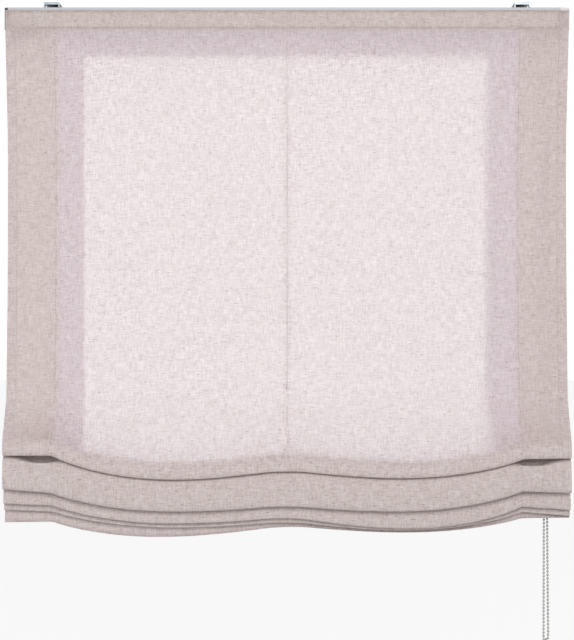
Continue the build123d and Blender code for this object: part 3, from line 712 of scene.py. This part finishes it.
def finishes():
    """The finishes by name, made once."""
    colours = settings("blind_colours")
    made = bpy.data.materials
    if "slubby_linen" in made:
        return made
    slubby_linen()
    # Spun polyester thread: slightly glossy, with a fine twist
    speckled("polyester_thread", tuple(colours.thread), linear("#b5a6a4"), 0.4, (0.55, 0.7), sheen=0.2)
    # Thin woven polyester tape: white and sheer, nearly all light goes through it, with a fine weave
    speckled(
        "thin_woven_tape", linear("#f4f2ef"), linear("#e6e3df"), 0.6, (0.7, 0.85), bump=0.3, through=0.97
    )
    # Braided polyester cord: white and a little silky
    speckled(
        "braided_polyester", linear("#f0eeea"), linear("#d6d3cd"), 0.5, (0.6, 0.75), bump=0.3, sheen=0.1
    )
    # Hook-and-loop tape: white nylon pile
    speckled("nylon_pile", linear("#e9e7e3"), linear("#cfccc6"), 0.9, (0.8, 0.95), bump=0.8, sheen=0.3)
    # Powder-coated aluminium: satin paint with a fine orange peel
    speckled("powder_coated_aluminium", tuple(colours.rail), linear("#c2c1c4"), 0.9, (0.42, 0.52), bump=0.06)
    # Moulded ABS, dark and pale: fine spark-eroded grain, a soft highlight
    speckled("dark_moulded_abs", linear("#4a4a4d"), linear("#3e3e41"), 0.5, (0.48, 0.6), bump=0.12)
    speckled("pale_moulded_abs", linear("#e6e5e3"), linear("#dcdad8"), 0.5, (0.4, 0.52), bump=0.1)
    # Moulded acetal for rings and stoppers: milky and smooth
    speckled("milky_acetal", linear("#f1f1ef"), linear("#e4e4e2"), 1.5, (0.25, 0.33), bump=0.03)
    # Zinc-plated sheet steel: grey metal with faint spangle, drawn at 3 mm
    speckled(
        "zinc_plated_steel", linear("#a3a9af"), linear("#8b9198"), 3.0, (0.28, 0.42), metal=1.0, bump=0.05
    )
    # Cold-drawn steel shaft and spring: fine lines along the drawing direction
    speckled(
        "drawn_steel", linear("#bfc0c2"), linear("#9fa1a4"), 0.4, (0.25, 0.4), metal=1.0, stretch=(0.02, 1, 1)
    )
    # Nickel-plated brass beads: satin metal, a warm grey
    speckled("satin_nickel", tuple(colours.chain), linear("#9d9b99"), 0.8, (0.3, 0.42), metal=1.0, bump=0.03)
    return made


def tube(path, radius, sides, strands=0, lay=1.0):
    """Points and quads of a tube: a circle of the radius carried along the path (n, 3), with capped ends.
    With strands, the radius sinks between them, as |sin| of the angle plus a twist of one turn per lay."""
    along = unit(np.gradient(path, axis=0))
    upright = np.abs(along[:, 2:3]) > NEARLY_UPRIGHT
    side = unit(np.cross(along, np.where(upright, (1.0, 0.0, 0.0), (0.0, 0.0, 1.0))))
    other = np.cross(along, side)
    angle = np.linspace(0, 2 * np.pi, sides, endpoint=False)[None, :]
    run = runs_along(path)[:, None]
    swell = np.abs(np.sin(strands / 2 * (angle + 2 * np.pi * run / lay))) if strands else 1.0
    swell = 1 - STRAND_RELIEF + STRAND_RELIEF * swell
    reach = (radius * swell * np.ones((len(path), sides)))[..., None]
    out = np.cos(angle)[..., None] * side[:, None] + np.sin(angle)[..., None] * other[:, None]
    ring = path[:, None] + reach * out
    points = np.concatenate((ring.reshape(-1, 3), path[:1], path[-1:]))
    quads = grid_quads(len(path), sides, wrap_columns=True)
    first = np.arange(sides)
    onward = (first + 1) % sides
    last = (len(path) - 1) * sides
    start_pole = np.full(sides, len(path) * sides)
    start = np.stack((first, onward, start_pole, start_pole), -1)
    end = np.stack((last + onward, last + first, start_pole + 1, start_pole + 1), -1)
    return points, np.concatenate((quads, start, end))


def copies(points, quads, places):
    """Points and quads of one shape repeated: places (n, k, 3) holds the moved points of each copy."""
    offsets = np.arange(len(places))[:, None, None] * len(points)
    return places.reshape(-1, 3), (quads[None] + offsets).reshape(-1, 4)


def ball(segments, rings):
    """Points and quads of a unit ball: (sin a cos b, sin a sin b, cos a), with one point at each pole."""
    polar = np.linspace(0, np.pi, rings + 1)[1:-1, None]
    turn = np.linspace(0, 2 * np.pi, segments, endpoint=False)[None, :]
    body = (np.sin(polar) * np.cos(turn), np.sin(polar) * np.sin(turn), np.cos(polar))
    body = np.stack(np.broadcast_arrays(*body), -1)
    points = np.concatenate((body.reshape(-1, 3), [(0, 0, 1), (0, 0, -1)]))
    first = np.arange(segments)
    onward = (first + 1) % segments
    last = (rings - 2) * segments
    pole = np.full(segments, (rings - 1) * segments)
    top = np.stack((onward, first, pole, pole), -1)
    bottom = np.stack((last + first, last + onward, pole + 1, pole + 1), -1)
    return points, np.concatenate((grid_quads(rings - 1, segments, wrap_columns=True), top, bottom))


def ring_shape(radius, wire, around, section):
    """Points and quads of a torus about Z: ((R + r cos b) cos a, (R + r cos b) sin a, r sin b)."""
    turn = np.linspace(0, 2 * np.pi, around, endpoint=False)[:, None]
    bend = np.linspace(0, 2 * np.pi, section, endpoint=False)[None, :]
    reach = radius + wire * np.cos(bend)
    points = np.stack((reach * np.cos(turn), reach * np.sin(turn), wire * np.sin(bend) + 0 * turn), -1)
    return points.reshape(-1, 3), grid_quads(around, section, wrap_rows=True, wrap_columns=True)[:, ::-1]


def route_points(name, route):
    """Points (n, 3) in millimetres read from a NURBS spline with the route's points as its control points."""
    curve = bpy.data.curves.new(name, "CURVE")
    curve.dimensions = "3D"
    spline = curve.splines.new("NURBS")
    spline.points.add(len(route) - 1)
    spline.points.foreach_set("co", np.column_stack((np.array(route), np.ones(len(route)))).ravel())
    spline.order_u = 3
    spline.use_endpoint_u = True
    spline.resolution_u = 16
    holder = bpy.data.objects.new(name, curve)
    bpy.context.scene.collection.objects.link(holder)
    graph = bpy.context.evaluated_depsgraph_get()
    mesh = bpy.data.meshes.new_from_object(holder.evaluated_get(graph))
    points = np.empty(len(mesh.vertices) * 3, np.float32)
    mesh.vertices.foreach_get("co", points)
    bpy.data.objects.remove(holder)
    bpy.data.meshes.remove(mesh)
    bpy.data.curves.remove(curve)
    points = points.reshape(-1, 3).astype(float)
    fresh = np.concatenate(([True], np.linalg.norm(np.diff(points, axis=0), axis=1) > SAME_POINT))
    return points[fresh]


def even_points(path, pitch, whole=True):
    """Points and unit directions along a path at an even pitch, fitted to a whole number of pitches."""
    run = runs_along(path)
    count = max(2, round(run[-1] / pitch))
    wanted = (np.arange(count) + 0.5) * run[-1] / count if whole else np.linspace(0, run[-1], count)
    points = by_run(path, run, wanted)
    ahead = by_run(path, run, np.minimum(wanted + pitch / 2, run[-1]))
    behind = by_run(path, run, np.maximum(wanted - pitch / 2, 0))
    return points, unit(ahead - behind)


def ring_rows(x):
    """Heights of the ring rows at a tape: the flat rows, then one at each crest."""
    crests = raw_lower_edges(np.array([x]))[:FOLDS, 0] + CREST_RISE_SHARES * RING_SPACING - CREST_WIDTH / 2
    return np.concatenate((-FIRST_RING_DROP - RING_SPACING * np.arange(FLAT_RING_ROWS), crests))


def braid(path):
    """Points and quads of a braided cord along a path."""
    return tube(path, CORD_DIAMETER / 2, CORD_SIDES, strands=CORD_STRANDS, lay=CORD_LAY)


class BLIND_OT_hang_cloth(bpy.types.Operator):
    """Makes the hemmed linen cloth, flat above and gathered in four folds below"""

    bl_idname = "blind.hang_cloth"
    bl_label = "Hang cloth"

    def execute(self, context):
        half = CLOTH_WIDTH / 2
        sizes = settings("blind_cloth")
        side_seam = half - sizes.side_hem / MM + SIDE_SEAM_INSET
        seams = [*TAPE_PLACES.values(), side_seam, -side_seam]
        close = [seam + step for seam in seams for step in SEAM_COLUMNS]
        edges = [side * (half - step) for side in (-1, 1) for step in EDGE_COLUMNS]
        fine = np.array(close + edges)
        coarse = np.linspace(-half, half, round(CLOTH_WIDTH / COLUMN_STEP) + 1)
        clear = np.min(np.abs(coarse[:, None] - fine[None, :]), axis=1) > COLUMN_CLEARANCE
        x = np.sort(np.concatenate((coarse[clear], fine)))
        points, normal, run = cloth_lines(x)
        total = run[-1]
        dip = seam_dip(x, run, total)
        hem = hem_share(x, run, total)
        face = points + normal * (CLOTH_THICKNESS / 2 - dip)[..., None]
        depth = CLOTH_THICKNESS / 2 * (1 + HEM_THICKENING * hem) - BACK_DIP_SHARE * dip
        back = points - normal * depth[..., None]
        uv = np.stack((x + 0 * run, -run), -1) * MM
        piece = put_mesh("linen_cloth", finishes()["slubby_linen"], *closed_sheet(face, back, uv))
        # The cloth counts as layered on its hems, and from just above the first fold's edge down as painted
        # light that brightens the folds
        edge_row = np.argmax(points[..., 2] < lower_edges(x)[0] + EDGE_NEARNESS, axis=0)
        below_edge = run - np.take_along_axis(run, edge_row[None], axis=0)
        hem_layers_and_painted_fold_light = np.maximum(HEM_LAYER_SHARE * hem, ease(below_edge, *GATHERED_RUNS))
        layers = piece.data.attributes.new("hem_layers_and_painted_fold_light", "FLOAT", "POINT")
        layers.data.foreach_set("value", np.tile(hem_layers_and_painted_fold_light.ravel(), 2).astype(np.float32))
        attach(piece, "frame")
        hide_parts("blind_cloth")
        return {"FINISHED"}


class BLIND_OT_sew_stitches(bpy.types.Operator):
    """Makes the rows of stitches on the cloth's face, along the tapes and all four hems"""

    bl_idname = "blind.sew_stitches"
    bl_label = "Sew stitches"

    def execute(self, context):
        sizes = settings("blind_cloth")
        half = CLOTH_WIDTH / 2
        side = half - sizes.side_hem / MM + SIDE_SEAM_INSET
        pitch = sizes.stitch / MM
        columns = np.array([*TAPE_PLACES.values(), -side, side])
        points, normal = cloth_lines(columns)[:2]
        lift = CLOTH_THICKNESS / 2 - STITCH_SINK
        rows = [points[:, k] + normal[:, k] * lift for k in range(len(columns))]
        margin = half - STITCH_MARGIN
        across = np.linspace(-margin, margin, round(CLOTH_WIDTH / pitch))
        points, normal, run = cloth_lines(across)
        surface = points + normal * lift
        top = sizes.top_hem / MM - HEM_SEAM_INSET + 0 * across
        low = run[-1] - sizes.lower_hem / MM + HEM_SEAM_INSET
        for depth in (top, low):
            rows.append(np.array([by_run(surface[:, k], run[:, k], depth[k]) for k in range(len(across))]))
        shape, quads = ball(*STITCH_SIDES)
        placed = []
        for row in rows:
            middles, ways = even_points(row, pitch)
            sideways = unit(np.cross(ways, (0.0, 1.0, 0.0)) + NUDGE)
            out = np.cross(ways, sideways)
            long = STITCH_LENGTH_SHARE * pitch * ways
            axes = np.stack((STITCH_HALF_WIDTH * sideways, STITCH_HALF_HEIGHT * out, long), 1)
            placed.append(middles[:, None] + np.einsum("pa,nax->npx", shape, axes))
        rows = copies(shape, quads, np.concatenate(placed))
        piece = put_mesh("stitch_rows", finishes()["polyester_thread"], *rows)
        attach(piece, "frame")
        return {"FINISHED"}


class BLIND_OT_sew_tapes(bpy.types.Operator):
    """Makes the three woven tapes down the cloth's back, which follow its folds"""

    bl_idname = "blind.sew_tapes"
    bl_label = "Sew tapes"

    def execute(self, context):
        across = TAPE_SHARES * TAPE_WIDTH / 2
        # Selvedges are a little thicker than the middle: a bell near each edge
        rib = SELVEDGE_HEIGHT * np.exp(-(((np.abs(TAPE_SHARES) - SELVEDGE_SHARE) / SELVEDGE_SPREAD) ** 2))
        depth = TAPE_OFFSET + TAPE_THICKNESS - TAPE_HOLLOW + rib
        for place, tape_x in TAPE_PLACES.items():
            points, normal, run = cloth_lines(np.full(len(across), tape_x))
            points = points + np.stack((across, 0 * across, 0 * across), -1)
            kept = (run[:, 0] > TAPE_TOP_RUN) & (run[:, 0] < run[-1, 0] - TAPE_END_GAP)
            points, normal, run = points[kept], normal[kept], run[kept]
            near = points - normal * TAPE_OFFSET
            far = points - normal * depth[None, :, None]
            uv = np.stack((across + 0 * run, -run), -1) * MM
            sheet = closed_sheet(near, far, uv)
            piece = put_mesh(f"woven_tape_{place}", finishes()["thin_woven_tape"], *sheet)
            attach(piece, "frame")
            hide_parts(f"ring_tape_{place}")
        return {"FINISHED"}


class BLIND_OT_seat_rings(bpy.types.Operator):
    """Makes the rings on the tapes and the thread loops that hold them"""

    bl_idname = "blind.seat_rings"
    bl_label = "Seat rings"

    def execute(self, context):
        shape, quads = ring_shape(RING_RADIUS, RING_WIRE, *RING_SIDES)
        loop, loop_quads = ring_shape(LOOP_RADIUS, LOOP_WIRE, *LOOP_SIDES)
        loop = loop[:, [2, 0, 1]]
        steps = np.array([(step, -RING_RADIUS, 0.0) for step in LOOP_STEPS])
        for place, tape_x in TAPE_PLACES.items():
            rows = ring_rows(tape_x)
            middles = np.stack((np.full(len(rows), tape_x), np.full(len(rows), CORD_Y), rows), -1)
            rings = copies(shape, quads, middles[:, None] + shape)
            piece = put_mesh(f"sewn_rings_{place}", finishes()["milky_acetal"], *rings)
            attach(piece, "frame")
            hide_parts(f"lift_rings_{place}")
            loops = copies(loop, loop_quads, (middles[:, None] + steps[None]).reshape(-1, 1, 3) + loop)
            thread = put_mesh(f"ring_threads_{place}", finishes()["polyester_thread"], *loops)
            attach(thread, "frame")
        return {"FINISHED"}


class BLIND_OT_string_chain(bpy.types.Operator):
    """Strings the endless ball chain over its wheel and down both strands"""

    bl_idname = "blind.string_chain"
    bl_label = "String chain"

    def execute(self, context):
        sizes = settings("blind_chain")
        straight = CHAIN_STRAIGHT_BEADS * sizes.bead / MM

        def strand(way, share):
            """A point on a strand, the front one with way -1, at a share of its height below the wheel."""
            x = CHAIN_X + (CHAIN_LEAN_X + way * CHAIN_SPREAD_X) * share
            y = AXIS_Y + way * (WHEEL_RADIUS + (CHAIN_SPREAD_Y - WHEEL_RADIUS) * share)
            return x, y, AXIS_Z + (CHAIN_BEND_Z - AXIS_Z) * share

        end_share = straight / (AXIS_Z - CHAIN_BEND_Z)
        low = CHAIN_BEND_Z - CHAIN_BEND_RADIUS
        crown = (CHAIN_X, AXIS_Y, AXIS_Z + WHEEL_RADIUS)
        route = [crown, (CHAIN_X, AXIS_Y - WHEEL_RADIUS, AXIS_Z + WHEEL_RADIUS), strand(-1, 0)]
        route += [strand(-1, end_share), strand(-1, 1 - end_share), strand(-1, 1)]
        route += [(*strand(-1, 1)[:2], low), (*strand(1, 1)[:2], low), strand(1, 1)]
        route += [strand(1, 1 - end_share), strand(1, end_share), strand(1, 0)]
        route += [(CHAIN_X, AXIS_Y + WHEEL_RADIUS, AXIS_Z + WHEEL_RADIUS), crown]
        path = route_points("chain_route", route)
        middles = even_points(path, sizes.pitch / MM)[0]
        shape, quads = ball(*BEAD_SIDES)
        beads, bead_quads = copies(shape, quads, middles[:, None] + shape * sizes.bead / 2 / MM)
        gaps = np.roll(middles, -1, axis=0) - middles
        pin, pin_quads = tube(np.array([(0.0, 0.0, 0.0), (0.0, 0.0, 1.0)]), 1.0, PIN_SIDES)
        side = unit(np.cross(gaps, (1.0, 0.0, 0.0))) * sizes.pin / 2 / MM
        other = np.cross(unit(gaps), side)
        axes = np.stack((side, other, gaps), 1)
        placed = middles[:, None] + np.einsum("pa,nax->npx", pin, axes)
        pins, pin_quads = copies(pin, pin_quads, placed)
        points = np.concatenate((beads, pins))
        quads = np.concatenate((bead_quads, pin_quads + len(beads)))
        piece = put_mesh("ball_chain", finishes()["satin_nickel"], points, quads)
        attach(piece, "frame")
        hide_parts("bead_chain")
        return {"FINISHED"}


class BLIND_OT_lace_cords(bpy.types.Operator):
    """Makes the braided lift cords, from their spools down through the rings, and the turns on the spools"""

    bl_idname = "blind.lace_cords"
    bl_label = "Lace cords"

    def execute(self, context):
        radius = CORD_DIAMETER / 2
        for place, tape_x in TAPE_PLACES.items():
            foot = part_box(f"lift_cord_{place}")[0].z / MM
            drop = np.linspace(AXIS_Z, foot, CORD_ROUTE_POINTS)
            path = route_points(f"cord_route_{place}", [(tape_x, CORD_Y, z) for z in drop])
            fine = even_points(path, CORD_STEP, whole=False)[0]
            piece = put_mesh(f"braided_cord_{place}", finishes()["braided_polyester"], *braid(fine))
            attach(piece, "frame")
            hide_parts(f"lift_cord_{place}")
            # Turns lie side by side on the drum: a helix of one cord's pitch
            start_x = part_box(f"cord_winding_{place}")[0].x / MM + radius
            turn = np.linspace(0, 2 * np.pi * (WOUND_TURNS - 1), POINTS_PER_TURN * (WOUND_TURNS - 1))
            reach = DRUM_RADIUS + RUNNING_CLEARANCE + radius
            wound_x = start_x + TURN_PITCH * turn / (2 * np.pi)
            helix = np.stack((wound_x, AXIS_Y - reach * np.cos(turn), AXIS_Z - reach * np.sin(turn)), -1)
            turns = put_mesh(f"cord_turns_{place}", finishes()["braided_polyester"], *braid(helix))
            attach(turns, "rotor")
            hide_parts(f"cord_winding_{place}")
        return {"FINISHED"}


class BLIND_OT_finish_hardware(bpy.types.Operator):
    """Gives the rail, its ends, the brackets and the works their finishes"""

    bl_idname = "blind.finish_hardware"
    bl_label = "Finish hardware"

    def execute(self, context):
        chosen = {
            "head_rail": "powder_coated_aluminium",
            "end_cap": "dark_moulded_abs",
            "control_cover": "pale_moulded_abs",
            "control_housing": "pale_moulded_abs",
            "chain_wheel": "pale_moulded_abs",
            "drive_coupler": "dark_moulded_abs",
            "brake_spring": "drawn_steel",
            "lift_shaft": "drawn_steel",
            "hook_strip": "nylon_pile",
            "loop_strip": "nylon_pile",
        }
        for side in ("left", "right"):
            chosen[f"ceiling_bracket_{side}"] = "zinc_plated_steel"
            chosen[f"bracket_lever_{side}"] = "dark_moulded_abs"
            chosen[f"lever_rivet_{side}"] = "zinc_plated_steel"
        for place in TAPE_PLACES:
            chosen[f"cord_spool_{place}"] = "pale_moulded_abs"
            chosen[f"spool_cradle_{place}"] = "pale_moulded_abs"
            chosen[f"cord_stopper_{place}"] = "milky_acetal"
        for node, finish in chosen.items():
            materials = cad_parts[node].data.materials
            materials.clear()
            materials.append(finishes()[finish])
        return {"FINISHED"}


def white_rays(tree):
    """A node that gives 1 to camera, glossy and transmission rays and 0 to all others."""
    seen = add(tree, "ShaderNodeLightPath").outputs
    shown = add(
        tree, "ShaderNodeMath", {0: seen["Is Camera Ray"], 1: seen["Is Glossy Ray"]}, operation="MAXIMUM"
    )
    return add(tree, "ShaderNodeMath", {0: shown, 1: seen["Is Transmission Ray"]}, operation="MAXIMUM")


class BLIND_OT_set_stage(bpy.types.Operator):
    """Makes the pale floor, the soft lights, the pale surroundings and the camera"""

    bl_idname = "blind.set_stage"
    bl_label = "Set stage"

    def execute(self, context):
        scene = context.scene
        scene.view_settings.view_transform = "Standard"
        # The floor takes shadows, and shows white to the rays that see it as background
        material, tree = new_material("pale_floor")
        share = add(
            tree, "ShaderNodeMath", {0: white_rays(tree), 1: FLOOR_WHITE_SHARE}, operation="MULTIPLY"
        )
        matt = add(tree, "ShaderNodeBsdfDiffuse", {"Color": linear("#f2f2f1")})
        glow = add(tree, "ShaderNodeEmission", {"Color": linear("#ffffff"), "Strength": 1.0})
        mix = add(tree, "ShaderNodeMixShader", {"Fac": share, 1: matt, 2: glow})
        add(tree, "ShaderNodeOutputMaterial", {"Surface": mix})
        corners = ((-1, -1), (1, -1), (-1, 1), (1, 1))
        points = np.array([(x * FLOOR_REACH, y * FLOOR_REACH, FLOOR_LEVEL) for x, y in corners])
        floor = put_mesh("floor", material, points, np.array([(0, 1, 3, 2)]), smooth=False)

        world = bpy.data.worlds.new("pale_surroundings")
        scene.world = world
        world.use_nodes = True
        tree = world.node_tree
        tree.nodes.clear()
        strength = add(
            tree, "ShaderNodeMapRange", {"Value": white_rays(tree), "To Min": SOFT_LIGHT, "To Max": 1.0}
        )
        sky = add(tree, "ShaderNodeBackground", {"Color": linear("#ffffff"), "Strength": strength})
        add(tree, "ShaderNodeOutputWorld", {"Surface": sky})

        # Name, watts, colour, place, size, turn and spread: a key in front, a fill at the left, and weak
        # daylight on the cloth's back, nearly white in the middle and bluish round it
        lamps = (
            ("key_softbox", 30.0, "#ffffff", (0.25, -2.2, 0.45), (1.8, 1.3), (64, 0, 6), 180),
            ("fill_softbox", 6.0, "#ffffff", (-1.7, -1.5, -0.6), (1.2, 1.4), (90, 0, -48), 180),
            ("daylight_panel", 1.05, "#e9fff6", (-0.011, 0.060, -0.447), (0.676, 0.71), (-90, 0, 6), 13),
            ("sky_panel", 0.56, "#a2aaff", (0.0, 0.050, -0.41), (0.776, 0.74), (-90, 0, 0), 16),
        )
        for name, watts, colour, place, size, turn, spread in lamps:
            light = bpy.data.lights.new(name, "AREA")
            light.energy = watts
            light.color = linear(colour)[:3]
            light.shape = "RECTANGLE"
            light.size, light.size_y = size
            light.spread = math.radians(spread)
            lamp = bpy.data.objects.new(name, light)
            lamp.location = place
            lamp.rotation_euler = [math.radians(angle) for angle in turn]
            lamp.visible_camera = False
            scene.collection.objects.link(lamp)

        view = bpy.data.cameras.new("photo_view")
        view.sensor_width = 36.0
        view.lens = 66.8
        view.clip_start = 0.05
        camera = bpy.data.objects.new("photo_view", view)
        camera.location = (0.0, -2.024, -0.536)
        camera.rotation_euler = (math.radians(90), 0, 0)
        scene.collection.objects.link(camera)
        scene.camera = camera
        return {"FINISHED"}


class BLIND_PT_maker(bpy.types.Panel):
    """Lists the blind's sizes, colours and steps"""

    bl_idname = "BLIND_PT_maker"
    bl_label = "Roman blind"
    bl_space_type = "VIEW_3D"
    bl_region_type = "UI"
    bl_category = "Blind"

    def draw(self, context):
        for group in SETTINGS:
            box = self.layout.box()
            values = settings(group)
            for name in values.__annotations__:
                box.prop(values, name)
        for operator in STEPS:
            self.layout.operator(operator.bl_idname)


SETTINGS = {
    "blind_cloth": BlindClothSettings,
    "blind_chain": BlindChainSettings,
    "blind_colours": BlindColourSettings,
}
STEPS = (
    BLIND_OT_set_stage,
    BLIND_OT_string_chain,
    BLIND_OT_lace_cords,
    BLIND_OT_hang_cloth,
    BLIND_OT_sew_stitches,
    BLIND_OT_sew_tapes,
    BLIND_OT_seat_rings,
    BLIND_OT_finish_hardware,
)


def register():
    """Registers the settings, the steps and the panel."""
    for name, group in SETTINGS.items():
        bpy.utils.register_class(group)
        setattr(bpy.types.Scene, name, bpy.props.PointerProperty(type=group))
    for operator in STEPS:
        bpy.utils.register_class(operator)
    bpy.utils.register_class(BLIND_PT_maker)


def unregister():
    """Removes the panel, the steps and the settings."""
    bpy.utils.unregister_class(BLIND_PT_maker)
    for operator in reversed(STEPS):
        bpy.utils.unregister_class(operator)
    for name, group in SETTINGS.items():
        delattr(bpy.types.Scene, name)
        bpy.utils.unregister_class(group)


def main():
    """Runs every step in order."""
    register()
    bpy.ops.blind.set_stage()
    bpy.ops.blind.string_chain()
    bpy.ops.blind.lace_cords()
    bpy.ops.blind.hang_cloth()
    bpy.ops.blind.sew_stitches()
    bpy.ops.blind.sew_tapes()
    bpy.ops.blind.seat_rings()
    bpy.ops.blind.finish_hardware()


if __name__ == "__main__":
    main()
